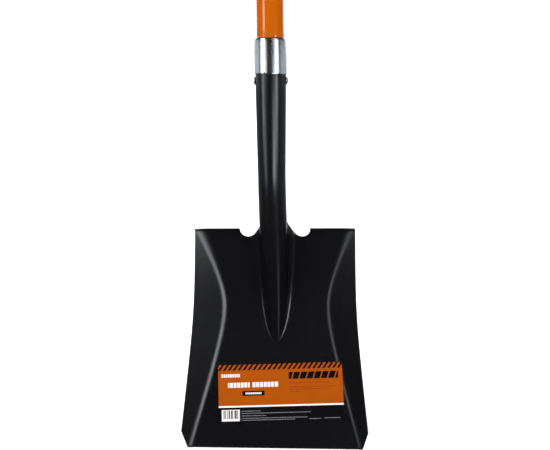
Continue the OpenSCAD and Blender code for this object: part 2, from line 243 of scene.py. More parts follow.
# --- materials ---
def black_enamel():
    s = Shader("black_enamel")
    cloud = s.noise(7.0, 2.0, 0.5)
    fine = s.noise(420.0, 2.0, 0.5)
    grain = s.noise(2600.0, 2.0, 0.6)
    base = s.mix(s.remap(cloud), (0.0026, 0.0025, 0.0034), (0.0036, 0.0034, 0.0045))
    # The cut lower edge has been handled: the enamel is a little thinner and duller there.
    edge = s.remap(s.axis("Z"), (0.0004, 0.0022), (1.0, 0.0), smooth=True)
    chips = s.remap(s.noise(310.0, 3.0, 0.7), (0.5, 0.62), smooth=True)
    worn = s.times(edge, chips)
    base = s.mix(s.times(worn, 0.7), base, (0.05, 0.05, 0.055))
    rough = s.plus(s.remap(cloud, to=(0.24, 0.27)), s.times(s.minus(grain, 0.5), 0.04))
    normal = s.bump(fine, 0.03, 0.00003)
    normal = s.bump(grain, 0.05, 0.00002, normal)
    return s.surface(Base_Color=base, Roughness=rough, Normal=normal, IOR=1.5)


def zinc_plate():
    s = Shader("zinc_plate")
    brushed = s.noise(160.0, 3.0, 0.6, s.scaled(1.0, 1.0, 9.0))
    clouds = s.noise(60.0, 4.0, 0.6)
    specks = s.noise(900.0, 2.0, 0.7)
    base = s.mix(s.remap(clouds), (0.70, 0.72, 0.76), (0.84, 0.85, 0.88))
    base = s.mix(s.remap(specks, (0.64, 0.74), (0.0, 0.35), smooth=True), base, (0.42, 0.43, 0.47))
    # A punched stop mark under the lip and a nick in the lower edge, on the front: bumped in as dents, with
    # painted shade darkening the zinc inside them
    dents_and_shade = None
    for x, z, across, up in ((0.0016, 0.5215, 0.0034, 0.0011), (-0.0060, 0.4822, 0.0016, 0.0014)):
        dx = s.math("DIVIDE", s.minus(s.axis("X"), x), across)
        dz = s.math("DIVIDE", s.minus(s.axis("Z"), z), up)
        far = s.plus(s.times(dx, dx), s.times(dz, dz))
        spot = s.remap(far, (0.5, 1.0), (1.0, 0.0), smooth=True)
        dents_and_shade = spot if dents_and_shade is None else s.math("MAXIMUM", dents_and_shade, spot)
    dents_and_shade = s.times(dents_and_shade, s.remap(s.axis("Y"), (-0.015, -0.014), (1.0, 0.0)))
    # Painted shade: the zinc's colour is darkened inside the dent and the nick
    base = s.mix(s.times(dents_and_shade, 0.85), base, (0.10, 0.10, 0.11))
    rough = s.remap(brushed, to=(0.13, 0.24))
    normal = s.bump(clouds, 0.2, 0.0003)
    normal = s.bump(brushed, 0.12, 0.00003, normal)
    normal = s.bump(dents_and_shade, -0.6, 0.0004, normal)
    return s.surface(Base_Color=base, Metallic=1.0, Roughness=rough, Normal=normal)


def zinc_steel():
    s = Shader("zinc_steel")
    clouds = s.noise(240.0, 4.0, 0.6)
    grain = s.noise(1800.0, 2.0, 0.6)
    base = s.mix(s.remap(clouds), (0.44, 0.44, 0.46), (0.64, 0.64, 0.66))
    rough = s.remap(clouds, to=(0.26, 0.42))
    normal = s.bump(grain, 0.18, 0.00003)
    return s.surface(Base_Color=base, Metallic=1.0, Roughness=rough, Normal=normal)


def rivet_paint():
    """The socket's rivet: enamelled with the blade, rubbed back to bare steel round the head's rim."""
    s = Shader("rivet_paint")
    y = s.axis("Y")
    z = s.minus(s.axis("Z"), RIVET_Z * MM)
    radius = s.math("SQRT", s.plus(s.times(y, y), s.times(z, z)))
    patchy = s.times(s.minus(s.noise(500.0, 3.0, 0.6), 0.5), 0.0016)
    rim = s.remap(s.plus(radius, patchy), (0.0036, 0.0042), smooth=True)
    base = s.mix(rim, (0.006, 0.006, 0.007), (0.62, 0.62, 0.64))
    rough = s.remap(s.noise(700.0), to=(0.22, 0.34))
    normal = s.bump(s.noise(1500.0), 0.15, 0.00003)
    return s.surface(Base_Color=base, Metallic=rim, Roughness=rough, Normal=normal)


def orange_fibreglass():
    s = Shader("orange_fibreglass")
    strands = s.noise(900.0, 3.0, 0.65, s.scaled(1.0, 1.0, 0.012))
    clouds = s.noise(14.0, 3.0, 0.5)
    mixed = s.plus(s.times(strands, 0.7), s.times(clouds, 0.3))
    base = s.mix(s.remap(mixed, (0.35, 0.65)), (0.395, 0.077, 0.0001), (0.45, 0.091, 0.0002))
    scuffs = s.remap(s.noise(220.0, 5.0, 0.75, s.scaled(1.0, 1.0, 0.25)), (0.62, 0.75), smooth=True)
    rough = s.plus(s.remap(strands, to=(0.22, 0.3)), s.times(scuffs, 0.12))
    normal = s.bump(strands, 0.08, 0.00005)
    return s.surface(Base_Color=base, Roughness=rough, Normal=normal, IOR=1.5,
                     Specular_IOR_Level=0.02, Coat_Weight=0.8, Coat_Roughness=0.05)


def black_nylon():
    s = Shader("black_nylon")
    texture = s.noise(1500.0, 2.0, 0.55)
    clouds = s.noise(22.0, 3.0, 0.5)
    base = s.mix(s.remap(clouds), (0.010, 0.010, 0.011), (0.018, 0.018, 0.019))
    scuffs = s.remap(s.noise(190.0, 6.0, 0.75, None, 0.8), (0.64, 0.76), smooth=True)
    base = s.mix(s.times(scuffs, 0.5), base, (0.05, 0.05, 0.052))
    # The line where the two halves of the mould meet runs round the yoke at its middle plane.
    seam = s.remap(s.math("ABSOLUTE", s.axis("Y")), (0.00012, 0.0004), (1.0, 0.0), smooth=True)
    rough = s.remap(texture, to=(0.44, 0.58))
    normal = s.bump(seam, 0.5, 0.0002)
    normal = s.bump(texture, 0.35, 0.00008, normal)
    return s.surface(Base_Color=base, Roughness=rough, Normal=normal, IOR=1.5)


def soft_rubber():
    s = Shader("soft_rubber")
    texture = s.noise(2200.0, 3.0, 0.6)
    dust = s.remap(s.noise(60.0, 5.0, 0.7), (0.5, 0.75), (0.0, 0.5), smooth=True)
    base = s.mix(dust, (0.016, 0.016, 0.017), (0.045, 0.043, 0.041))
    rough = s.remap(texture, to=(0.66, 0.84))
    normal = s.bump(texture, 0.3, 0.00006)
    return s.surface(Base_Color=base, Roughness=rough, Normal=normal, IOR=1.45)


def ash_wood():
    s = Shader("ash_wood")
    rings = s.noise(55.0, 4.0, 0.6, s.scaled(1.0, 1.0, 0.08), 1.2)
    pores = s.noise(900.0, 2.0, 0.7, s.scaled(1.0, 1.0, 0.03))
    base = s.mix(s.remap(rings, (0.35, 0.65)), (0.56, 0.37, 0.19), (0.70, 0.50, 0.29))
    base = s.mix(s.remap(pores, (0.6, 0.72), (0.0, 0.6), smooth=True), base, (0.32, 0.19, 0.09))
    rough = s.remap(rings, to=(0.5, 0.68))
    normal = s.bump(pores, 0.3, 0.0001)
    return s.surface(Base_Color=base, Roughness=rough, Normal=normal)


# --- the blade ---
# Outline, lean and thickness of the sheet
BLADE_W, SHOULDER_W, BLADE_H, SHEET_T = 242.0, 208.0, 283.0, 1.8
LEAN = tan(radians(7))
CORNER_H, CORNER_CUT, SPREAD_Z, SPREAD_SOFT = 22.0, 7.5, 175.0, 50.0
EDGE_R = 0.4
EDGE_ANGLES = [radians(a) for a in (30, 60, 90)]
# Wings and the creases beside the dish
WING_SLOPE, WAIST_W, WAIST_Z, WAIST_SOFT = 0.63, 135.6, 180.0, 40.0
SPLAY_UP, SPLAY_DOWN, CREASE_R = 0.43, 0.296, 6.0
SHOULDER_SOFT, SOFT_START = 9.0, 200.0
# Socket and its bend
SOCKET_TOP, MOUTH_R, NECK_R, SEAM_W = 522.0, 19.55, 17.75, 2.0
CRANK, BEND_TOP, BEND_BOTTOM = tan(radians(11.1)), 366.0, 316.0
TAPER_BOTTOM, TAPER_TOP, RIVET_Z = 355.0, 462.0, 473.0
# Ridge, whose foot is lifted a little where it runs out into the dish
NOSE_Z, NOSE_R, NOSE_EASE, NOSE_FILLET = 135.0, 8.0, 1.5, 7.0
RIDGE_TOP, RIDGE_FILLET, STRIP_X = 290.0, 12.5, 33.0
NOSE_LIFT, LIFT_BOTTOM, LIFT_TOP = 4.5, 120.0, 200.0
# Relief notches, the wrap above them and the turned treads
NOTCH_Z, NOTCH_MID, NOTCH_R, NOTCH_TRIM = 272.0, 35.5, 10.5, 5.5
WRAP_BOTTOM, WRAP_TOP, WRAP_SOFT, WRAP_EASE = 275.0, 330.0, 3.0, 1.7
SHOULDER_START, BEND_R, TREAD_REACH = 257.0, 3.0, 7.0
TREAD_Z = BLADE_H - SHEET_T / 2
TREAD_PATH = TREAD_Z - BEND_R + BEND_R * pi / 2 + TREAD_REACH - BEND_R


def spread(z):
    d = SPREAD_Z - z
    return (d + hypot(d, SPREAD_SOFT)) / 2


SPREAD_RATE = (BLADE_W - SHOULDER_W) / 2 / (spread(CORNER_H) - spread(BLADE_H))


def side_x(z):
    return SHOULDER_W / 2 + SPREAD_RATE * (spread(z) - spread(BLADE_H))


def rim_x(z):
    return min(side_x(z), BLADE_W / 2 - CORNER_CUT * max(0.0, 1 - z / CORNER_H))


def crease_x(z):
    bow = hypot(z - WAIST_Z, WAIST_SOFT) - WAIST_SOFT
    return WAIST_W / 2 + (SPLAY_UP if z > WAIST_Z else SPLAY_DOWN) * bow


def depth(z):
    return WING_SLOPE * (side_x(z) - crease_x(z))


def rounded(a, r):
    return 0.0 if a < -r else a if a > r else (a + r) ** 2 / (4 * r)


def part_way(z, z0, z1):
    return min(1.0, max(0.0, (z - z0) / (z1 - z0)))


def dish_y(z):
    return z * LEAN - depth(0) + depth(z)


def crease_r(z):
    """The crease gets softer towards the shoulders."""
    return CREASE_R + SHOULDER_SOFT * part_way(z, SOFT_START, BLADE_H) ** 2


def sheet_y(x, z):
    return dish_y(z) - WING_SLOPE * rounded(abs(x) - crease_x(z), crease_r(z))


def tube_y(z):
    lift = NOSE_LIFT * (1 - part_way(z, LIFT_BOTTOM, LIFT_TOP)) ** 2
    if z > BEND_TOP:
        return 0.0
    if z > BEND_BOTTOM:
        return CRANK * (BEND_TOP - z) ** 2 / (2 * (BEND_TOP - BEND_BOTTOM))
    return CRANK * ((BEND_TOP + BEND_BOTTOM) / 2 - z) - lift


def tube_r(z):
    up = part_way(z, TAPER_BOTTOM, TAPER_TOP)
    down = 1 - part_way(z, NOSE_Z, RIDGE_TOP)
    return NECK_R + up * (MOUTH_R - NECK_R) - down ** NOSE_EASE * (NECK_R - NOSE_R) - SHEET_T / 2


def ridge_xy(u, z, trim):
    """Half a ridge section from its crest (u 0) to the strip's edge (u 1)."""
    r, rise = tube_r(z), dish_y(z) - tube_y(z)
    if rise <= -r:
        return u * STRIP_X, dish_y(z)
    f = NOSE_FILLET + part_way(z, NOSE_Z, RIDGE_TOP) * (RIDGE_FILLET - NOSE_FILLET)
    back = rise - f
    flare = r + f if back >= 0 else sqrt((r + f) ** 2 - back ** 2)
    turn = pi / 2 if back >= 0 else atan2(flare, -back)
    arc, flank, fillet = r * turn, max(0.0, back), f * turn
    s = u * (arc + flank + fillet + STRIP_X - flare - trim)
    if s < arc:
        return r * sin(s / r), tube_y(z) - r * cos(s / r)
    if s < arc + flank:
        return r, tube_y(z) + s - arc
    if s < arc + flank + fillet:
        a = turn - (s - arc - flank) / f
        return flare - f * sin(a), tube_y(z) + back + f * cos(a)
    return flare + s - arc - flank - fillet, dish_y(z)


def tube_xy(u, z):
    r = tube_r(z)
    a = u * (pi - SEAM_W / 2 / r)
    return r * sin(a), tube_y(z) - r * cos(a)


def strip_point(u, z):
    """A point of the middle strip: dish and ridge below, wrapped round into the socket above."""
    side = -1.0 if u < 0 else 1.0
    u = abs(u)
    t = min(1.0, rounded(z - WRAP_BOTTOM, WRAP_SOFT) / (WRAP_TOP - WRAP_BOTTOM))
    k = 1 - (1 - t) ** WRAP_EASE
    trim = 0.0
    if z > NOTCH_Z:
        reach = sqrt(NOTCH_R ** 2 - max(0.0, NOTCH_R - (z - NOTCH_Z)) ** 2)
        trim = min(NOTCH_TRIM, max(0.0, STRIP_X - NOTCH_MID + reach))
    a, b = ridge_xy(u, z, trim), tube_xy(u, z)
    return np.array([side * (a[0] * (1 - k) + b[0] * k), a[1] * (1 - k) + b[1] * k, z])


def top_path(x):
    if x <= NOTCH_MID:
        return NOTCH_Z
    if x < NOTCH_MID + NOTCH_R:
        return NOTCH_Z + NOTCH_R - sqrt(max(0.0, NOTCH_R ** 2 - (x - NOTCH_MID) ** 2))
    return TREAD_PATH


def shoulder_point(x, s):
    """A point of the sheet outside the strip, s up the sheet from the cutting edge."""
    start = TREAD_Z - BEND_R
    a = (s - start) / BEND_R
    if s <= start:
        z, reach = s, 0.0
    elif a < pi / 2:
        z, reach = start + BEND_R * sin(a), BEND_R * (1 - cos(a))
    else:
        z, reach = TREAD_Z, s - start - BEND_R * pi / 2 + BEND_R
    return np.array([x, sheet_y(x, min(z, BLADE_H)) - reach, z])


def slope_normal(surface, a, b, da, db):
    """Front-facing normal of surface(a, b) by small steps."""
    n = np.cross(surface(a + da, b) - surface(a - da, b), surface(a, b + db) - surface(a, b - db))
    return n / np.linalg.norm(n)


# Rows and columns of the grid: close together where the sheet bends
NOSE_LOW, NOSE_HIGH, TREAD_START, TREAD_END, NOTCH_END = 118.0, 152.0, 0.7175, 0.87, 282.5
STRIP_COLS = 34
NOTCH_STEPS = (0.12, 0.9, 2.4, 4.0)
WING_SHARES = (0.2, 0.4, 0.6, 0.8, 0.94, 1.0)
WIDEST_CREASE = 0.8


def blade_rows():
    """Heights below the shoulders, shares of the way up round the tread, heights of the tube."""
    low = np.concatenate([
        np.linspace(0, CORNER_H, 9), np.linspace(CORNER_H, NOSE_LOW, 25)[1:],
        np.linspace(NOSE_LOW, NOSE_HIGH, 24)[1:], np.linspace(NOSE_HIGH, SHOULDER_START, 36)[1:]])
    up = np.concatenate([
        np.linspace(0, TREAD_START, 8)[1:], np.linspace(TREAD_START, TREAD_END, 8)[1:],
        np.linspace(TREAD_END, 1, 4)[1:]])
    tube = np.concatenate([
        NOTCH_Z + NOTCH_R * (1 - np.cos(np.linspace(0.1, 1, 15) * pi / 2)),
        np.linspace(NOTCH_END, WRAP_TOP, 36)[1:], np.linspace(WRAP_TOP, BEND_TOP, 15)[1:],
        np.linspace(BEND_TOP, SOCKET_TOP, 30)[1:]])
    return low, up, tube


def blade_columns(z):
    """x of the columns outside the strip at height z."""
    c, w, r = crease_x(z), rim_x(z), crease_r(z)
    e = min(r, WIDEST_CREASE * (w - c))
    notch = [NOTCH_MID + NOTCH_R * sin(a) for a in np.linspace(0, pi / 2, 11)]
    notch += [NOTCH_MID + NOTCH_R + d for d in NOTCH_STEPS]
    last = notch[-1]
    panel = [last + t * (c - r - last) for t in np.linspace(0, 1, 7)[1:]]
    crease = [c - r + (r + e) * t for t in np.linspace(0, 1, 15)[1:]]
    wing = [c + e + t * (w - c - e) for t in WING_SHARES]
    return notch + panel + crease + wing


def blade_grid():
    """The middle surface and its normals, as dicts keyed by (row, column)."""
    low, up, tube = blade_rows()
    rows = [("low", z) for z in low] + [("up", v) for v in up] + [("tube", z) for z in tube]
    low_last = len(low) + len(up) - 1
    outer = len(blade_columns(0.0))
    cols = STRIP_COLS + outer
    point, normal = {}, {}
    for i, (kind, v) in enumerate(rows):
        z = SHOULDER_START + v * (NOTCH_Z - SHOULDER_START) if kind == "up" else v
        for j in range(-STRIP_COLS, STRIP_COLS + 1):
            u = j / STRIP_COLS
            point[i, j] = strip_point(u, z)
            normal[i, j] = slope_normal(strip_point, u, z, 0.002, 0.05)
        if kind == "tube":
            continue
        for m, x in enumerate(blade_columns(z)):
            s = z if kind == "low" else SHOULDER_START + v * (top_path(x) - SHOULDER_START)
            for side in (-1, 1):
                key = (i, side * (STRIP_COLS + 1 + m))
                point[key] = shoulder_point(side * x, s)
                normal[key] = slope_normal(shoulder_point, side * x, s, 0.02, 0.02)
    for j in range(-cols, cols + 1):
        flat = normal[0, j] * np.array([1, 1, 0])
        normal[0, j] = flat / np.linalg.norm(flat)
    return point, normal, len(rows) - 1, low_last, cols


def blade_rim(row_last, low_last, cols):
    """Keys round the sheet's edge, anticlockwise seen from the front."""
    keys = [(0, j) for j in range(-cols, cols)]
    keys += [(i, cols) for i in range(low_last)]
    keys += [(low_last, j) for j in range(cols, STRIP_COLS, -1)]
    keys += [(i, STRIP_COLS) for i in range(low_last, row_last)]
    keys += [(row_last, j) for j in range(STRIP_COLS, -STRIP_COLS, -1)]
    keys += [(i, -STRIP_COLS) for i in range(row_last, low_last, -1)]
    keys += [(low_last, j) for j in range(-STRIP_COLS, -cols, -1)]
    keys += [(i, -cols) for i in range(low_last, 0, -1)]
    return keys


def make_blade(material):
    point, normal, row_last, low_last, cols = blade_grid()
    rim = blade_rim(row_last, low_last, cols)
    half, edge = SHEET_T / 2, EDGE_R
    outward = {}
    for k, key in enumerate(rim):
        before, after = point[rim[k - 1]], point[rim[(k + 1) % len(rim)]]
        out = np.cross(after - before, normal[key])
        outward[key] = out / np.linalg.norm(out)
    verts, normals, front, back = [], [], {}, {}
    for key, p in point.items():
        if key in outward:
            p = p - outward[key] * edge
        for store, side in ((front, 1), (back, -1)):
            store[key] = len(verts)
            verts.append(p + side * half * normal[key])
            normals.append(side * normal[key])
    rings = {}
    for key in rim:
        n, out, p = normal[key], outward[key], point[key] - outward[key] * edge
        ring = [front[key]]
        for side, order in ((1, EDGE_ANGLES), (-1, EDGE_ANGLES[::-1])):
            for a in order:
                ring.append(len(verts))
                turned = side * n * cos(a) + out * sin(a)
                verts.append(p + side * n * (half - edge) + edge * turned)
                normals.append(turned)
        rings[key] = ring + [back[key]]
    faces = []
    for (i, j) in point:
        corners = ((i, j), (i, j + 1), (i + 1, j + 1), (i + 1, j))
        if all(c in point for c in corners):
            faces.append(tuple(front[c] for c in corners))
            faces.append(tuple(back[c] for c in reversed(corners)))
    for k, key in enumerate(rim):
        a, b = rings[key], rings[rim[(k + 1) % len(rim)]]
        for s in range(len(a) - 1):
            faces.append((a[s], a[s + 1], b[s + 1], b[s]))
    obj = make_object("steel_blade", verts, faces, None)
    obj.data.normals_split_custom_set_from_vertices([tuple(n) for n in normals])
    dress(obj, "blade", material)


# --- the label ---
LABEL_X, LABEL_Z, LABEL_W, LABEL_H = 6.9, 69.9, 163.0, 73.0
LABEL_TILT = radians(2.1)
LABEL_CORNER, LABEL_COLS, LABEL_ROWS = 1.2, 110, 52
PAPER_T, PAPER_LIFT, PAPER_FLOAT = 0.16, 0.12, 0.08
# Small bubbles, as (height, waves across, waves up), and the lifted lower right corner
BUBBLE, RIPPLE = (0.05, 0.21, 0.33), (0.03, 0.07, 0.11)
CURL_H, CURL_X, CURL_Y, CURL_RUN = 0.35, 70.0, 26.0, (11.5, 12.0)


def label_surface(a, b):
    """Point of the sheet's middle surface under the label's own place: a across, b up."""
    x = LABEL_X + a * cos(LABEL_TILT) - b * sin(LABEL_TILT)
    z = LABEL_Z + a * sin(LABEL_TILT) + b * cos(LABEL_TILT)
    return np.array([x, sheet_y(x, z), z])


def paper_height(a, b):
    """How far bubbles and the curled corner lift the paper at a across, b up from its middle."""
    wave = BUBBLE[0] * sin(a * BUBBLE[1] + 1.0) * sin(b * BUBBLE[2] + 0.5)
    wave += RIPPLE[0] * sin(a * RIPPLE[1] + b * RIPPLE[2])
    across, down = max(0.0, (a - CURL_X) / CURL_RUN[0]), max(0.0, (-b - CURL_Y) / CURL_RUN[1])
    return PAPER_FLOAT + wave + CURL_H * across ** 2 * down ** 2


def round_corner(a, b):
    """Points inside a corner square are drawn onto its arc."""
    cx, cy = LABEL_W / 2 - LABEL_CORNER, LABEL_H / 2 - LABEL_CORNER
    if abs(a) <= cx or abs(b) <= cy:
        return a, b
    dx, dy = abs(a) - cx, abs(b) - cy
    shrink = max(dx, dy) / hypot(dx, dy)
    return copysign(cx + dx * shrink, a), copysign(cy + dy * shrink, b)


def make_label(material):
    us = np.concatenate([[0, 0.0015, 0.004], np.linspace(0, 1, LABEL_COLS)[1:-1], [0.996, 0.9985, 1]])
    vs = np.concatenate([[0, 0.003, 0.008], np.linspace(0, 1, LABEL_ROWS)[1:-1], [0.992, 0.997, 1]])
    verts, uvs = [], []
    for lift in (PAPER_LIFT + PAPER_T, PAPER_LIFT):
        for v in vs:
            for u in us:
                a, b = round_corner((u - 0.5) * LABEL_W, (v - 0.5) * LABEL_H)
                n = slope_normal(label_surface, a, b, 0.05, 0.05)
                verts.append(label_surface(a, b) + n * (SHEET_T / 2 + lift + paper_height(a, b)))
                uvs.append((a / LABEL_W + 0.5, b / LABEL_H + 0.5))
    w, h = len(us), len(vs)
    faces = []
    base = w * h
    for i in range(h - 1):
        for j in range(w - 1):
            a = i * w + j
            faces.append((a, a + 1, a + w + 1, a + w))
            faces.append((base + a, base + a + w, base + a + w + 1, base + a + 1))
    loop = list(range(w - 1)) + [i * w + w - 1 for i in range(h - 1)]
    loop += [(h - 1) * w + j for j in range(w - 1, 0, -1)] + [i * w for i in range(h - 1, 0, -1)]
    for k, a in enumerate(loop):
        b = loop[(k + 1) % len(loop)]
        faces.append((a, base + a, base + b, b))
    obj = make_object("paper_label", verts, faces, 50.0)
    layer = obj.data.uv_layers.new(name="label")
    for corner_loop in obj.data.loops:
        layer.data[corner_loop.index].uv = uvs[corner_loop.vertex_index]
    dress(obj, "blade_label", material)


PRINT_EDGE = 0.12  # half the width of a printed edge
BREAK_EDGE = 0.02


class Print:
    """Printed areas of the label, in millimetres from its top left corner."""

    def __init__(self, shader):
        self.s = shader
        uv = shader.node("ShaderNodeUVMap", uv_map="label").outputs[0]
        split = shader.node("ShaderNodeSeparateXYZ", {"Vector": uv})
        self.x = shader.times(split.outputs[0], LABEL_W)
        self.y = shader.times(shader.minus(1.0, split.outputs[1]), LABEL_H)

    def beyond(self, place, start, end, corner):
        """Distance of place from the middle of start to end, less half that stretch."""
        s = self.s
        return s.minus(s.math("ABSOLUTE", s.minus(place, (start + end) / 2)),
                       (end - start) / 2 - corner)

    def block(self, x0, x1, y0, y1, corner=0.0):
        s = self.s
        dx, dy = self.beyond(self.x, x0, x1, corner), self.beyond(self.y, y0, y1, corner)
        if corner:
            dx, dy = s.math("MAXIMUM", dx, 0.0), s.math("MAXIMUM", dy, 0.0)
            both = s.plus(s.times(dx, dx), s.times(dy, dy))
            far = s.minus(s.math("SQRT", both), corner)
        else:
            far = s.math("MAXIMUM", dx, dy)
        return s.remap(far, (-PRINT_EDGE, PRINT_EDGE), (1.0, 0.0))

    def teeth(self, pitch, share, shift=0.0, slant=0.0):
        """Bars that repeat along x: share of each pitch is printed."""
        s = self.s
        along = s.plus(self.x, shift)
        if slant:
            along = s.plus(along, s.times(self.y, slant))
        wave = s.math("PINGPONG", along, pitch / 2)
        edge = share * pitch / 2
        return s.remap(wave, (edge - PRINT_EDGE, edge + PRINT_EDGE), (1.0, 0.0))

    def broken(self, scale, seed, level):
        """Runs of print and gaps of uneven length along x."""
        s = self.s
        pick = s.node("ShaderNodeTexNoise", {
            "W": s.plus(s.times(self.x, scale), seed), "Scale": 1.0,
            "Detail": 3.0, "Roughness": 0.7}, noise_dimensions="1D").outputs["Fac"]
        return s.remap(pick, (level - BREAK_EDGE, level + BREAK_EDGE))


INK_BLACK, INK_WHITE, INK_GREY = (0.0035, 0.0035, 0.0042), (0.78, 0.76, 0.74), (0.22, 0.22, 0.24)
FULL = (-1, LABEL_W + 1)  # x range of what is printed right across
HAZARD_END, BAND_TOP, RULE = 7.3, 53.8, (51.8, 53.9)
PILL = (31.5, 60.5, 33.6, 39.6, 0.8)
# Rows of plain blocks in place of lettering: x0, x1, y0, y1 and corner, then teeth, then ink
TOOTHED_ROWS = (
    ((4.3, 28.5, 11.7, 15.9), (2.9, 0.74, 0.6), INK_WHITE),
    ((12.7, 41.0, 22.7, 29.0), (4.7, 0.8, 1.6), INK_WHITE),
    ((44.2, 79.2, 22.7, 29.0), (4.9, 0.8, 2.2), INK_WHITE),
    ((35.5, 56.5, 35.4, 37.8), (2.6, 0.74, 0.4), INK_WHITE),
    ((92.4, 157.0, 11.1, 19.8, 0.6), (9.3, 0.84, 4.0, 0.35), INK_BLACK))
# Broken lines in place of small print: y, x0, x1, seed
FINE_LINES = ((24.6, 92.4, 145.5, 3.1), (30.2, 92.4, 153.3, 9.7), (32.9, 92.4, 145.5, 17.3),
              (35.9, 92.4, 105.4, 23.9))
BAND_LINES = ((58.9, 29.5, 55.0, 5.5), (61.7, 29.5, 120.5, 11.2), (64.8, 29.5, 62.0, 15.8),
              (67.9, 29.5, 116.0, 27.4), (70.3, 29.5, 100.0, 31.6), (70.3, 118.0, 133.5, 36.0),
              (69.8, 137.5, 158.0, 44.0))
LINE_HALF = 0.5
BAR_PANEL, BAR_AREA, BAR_SEED = (3.9, 27.4, 56.8, 71.2), (6.0, 25.4, 57.5, 68.2), 41.0


def label_paper():
    s = Shader("label_paper")
    p = Print(s)
    tint = s.noise(30.0, 3.0, 0.5)
    colour = s.mix(s.remap(tint), (0.342, 0.063, 0.0001), (0.368, 0.069, 0.0002))
    hazard = s.times(p.block(*FULL, -1, HAZARD_END), p.teeth(6.5, 0.52, 0.0, 0.75))
    colour = s.mix(hazard, colour, INK_BLACK)
    colour = s.mix(p.block(*FULL, BAND_TOP, LABEL_H + 1), colour, INK_BLACK)
    colour = s.mix(p.block(*FULL, *RULE), colour, INK_WHITE)
    colour = s.mix(p.block(*PILL), colour, INK_BLACK)
    for area, teeth, ink in TOOTHED_ROWS:
        colour = s.mix(s.times(p.block(*area), p.teeth(*teeth)), colour, ink)
    for y, x0, x1, seed in FINE_LINES:
        line = s.times(p.block(x0, x1, y - LINE_HALF, y + LINE_HALF), p.broken(0.9, seed, 0.47))
        colour = s.mix(s.times(line, 0.5), colour, INK_BLACK)
    colour = s.mix(p.block(*BAR_PANEL), colour, INK_WHITE)
    bars = s.times(p.block(*BAR_AREA), p.broken(0.75, BAR_SEED, 0.5))
    colour = s.mix(bars, colour, INK_BLACK)
    for y, x0, x1, seed in BAND_LINES:
        line = s.times(p.block(x0, x1, y - LINE_HALF, y + LINE_HALF), p.broken(1.3, seed, 0.48))
        colour = s.mix(line, colour, INK_GREY)
    rough = s.remap(s.noise(45.0, 3.0), to=(0.3, 0.42))
    normal = s.bump(s.noise(1400.0, 2.0), 0.06, 0.00004)
    normal = s.bump(s.noise(38.0, 2.0), 0.25, 0.0004, normal)
    return s.surface(Base_Color=colour, Roughness=rough, Normal=normal, IOR=1.5,
                     Specular_IOR_Level=0.05)


# --- ferrule, rivets and shaft ---
SHAFT_R, BORE_R = 17.8, 13.1
FERRULE_TOP, FERRULE_L, FERRULE_R, LIP = 527.0, 46.0, 20.8, 2.4
FERRULE_EDGE, LIP_SHEAR, SPIGOT_PLAY = 0.25, 0.03, 0.3
GAP, RIVET_R, ROD_R = 0.05, 3.0, 4.0
# Shank radius, head radius and head height
RIVET, ROD = (RIVET_R, 5.0, 2.4), (ROD_R, 7.0, 2.4)


def bottom_of(node):
    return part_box(node)[0].z / MM


def top_of(node):
    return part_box(node)[1].z / MM


def middle_of(box):
    return (box[0].z + box[1].z) / 2 / MM


def make_ferrule(material):
    inner = MOUTH_R + GAP
    wall = FERRULE_R - inner
    outline = [(inner, -FERRULE_L)]
    outline += [(FERRULE_R - FERRULE_EDGE, -FERRULE_L), (FERRULE_R, -FERRULE_L + FERRULE_EDGE)]
    outline += [(FERRULE_R, -FERRULE_L + t * (FERRULE_L - LIP)) for t in np.linspace(0.03, 1, 30)]
    outline += [(FERRULE_R - LIP + LIP * cos(a), -LIP + LIP * sin(a))
                for a in np.linspace(0, pi / 2, 10)[1:]]
    outline += [(SHAFT_R + GAP, 0.0), (SHAFT_R + GAP, -wall - 1), (inner, -LIP - wall)]
    verts, faces = lathe(outline, centre=(0, 0, FERRULE_TOP), segments=160)
    made = [(x, y, z - LIP_SHEAR * x * part_way(FERRULE_TOP - z, -1, 4)) for x, y, z in verts]
    dress(make_object("ferrule_collar", made, faces, 50.0), "ferrule", material)


def dome(r, h, steps=12, brim=0.28):
    """(r, h) outline of a rivet head, from the axis at h 0 round to the axis at its top."""
    points = [(0.0, 0.0), (r, 0.0)]
    for k in range(steps):
        a = pi / 2 * k / steps
        points.append((r * cos(a), h * (brim + (1 - brim) * sin(a))))
    return points + [(0.0, h)]


def through_rivet(reach, r, head_r, head_h, axis, centre):
    head = rounded_corners(dome(head_r, head_h), 0.25, 3)
    shank = rounded_corners([(0, -reach), (r, -reach), (r, reach), (0, reach)], 0.2, 2)
    parts = [lathe(shank, axis, centre, 48)]
    for side in (-1, 1):
        outline = [(p, side * (h + reach)) for p, h in head]
        parts.append(lathe(outline, axis, centre, 64, flip=side < 0))
    return joined(*parts)


def make_rivet(name, node, reach, size, axis, height, material):
    """A rivet or headed rod along axis, its heads seated reach from the middle."""
    obj = make_object(name, *through_rivet(reach, *size, axis, (0, 0, height)))
    dress(obj, node, material)


def make_shaft(material):
    top, low = top_of("shaft_tube"), bottom_of("shaft_tube")
    spigot, mouth = NECK_R - SHEET_T - SPIGOT_PLAY, MOUTH_R - SHEET_T - SPIGOT_PLAY
    outline = [(BORE_R, low), (spigot, low), (mouth, TAPER_TOP), (mouth, SOCKET_TOP + GAP),
               (SHAFT_R, SOCKET_TOP + GAP)]
    outline += [(SHAFT_R, SOCKET_TOP + t * (top - SOCKET_TOP)) for t in np.linspace(0.02, 0.98, 24)]
    outline += [(SHAFT_R, top), (BORE_R, top)]
    verts, faces = lathe(rounded_corners(outline, 0.8, 3), segments=128)
    dress(make_object("fibreglass_shaft", verts, faces), "shaft_tube", material)


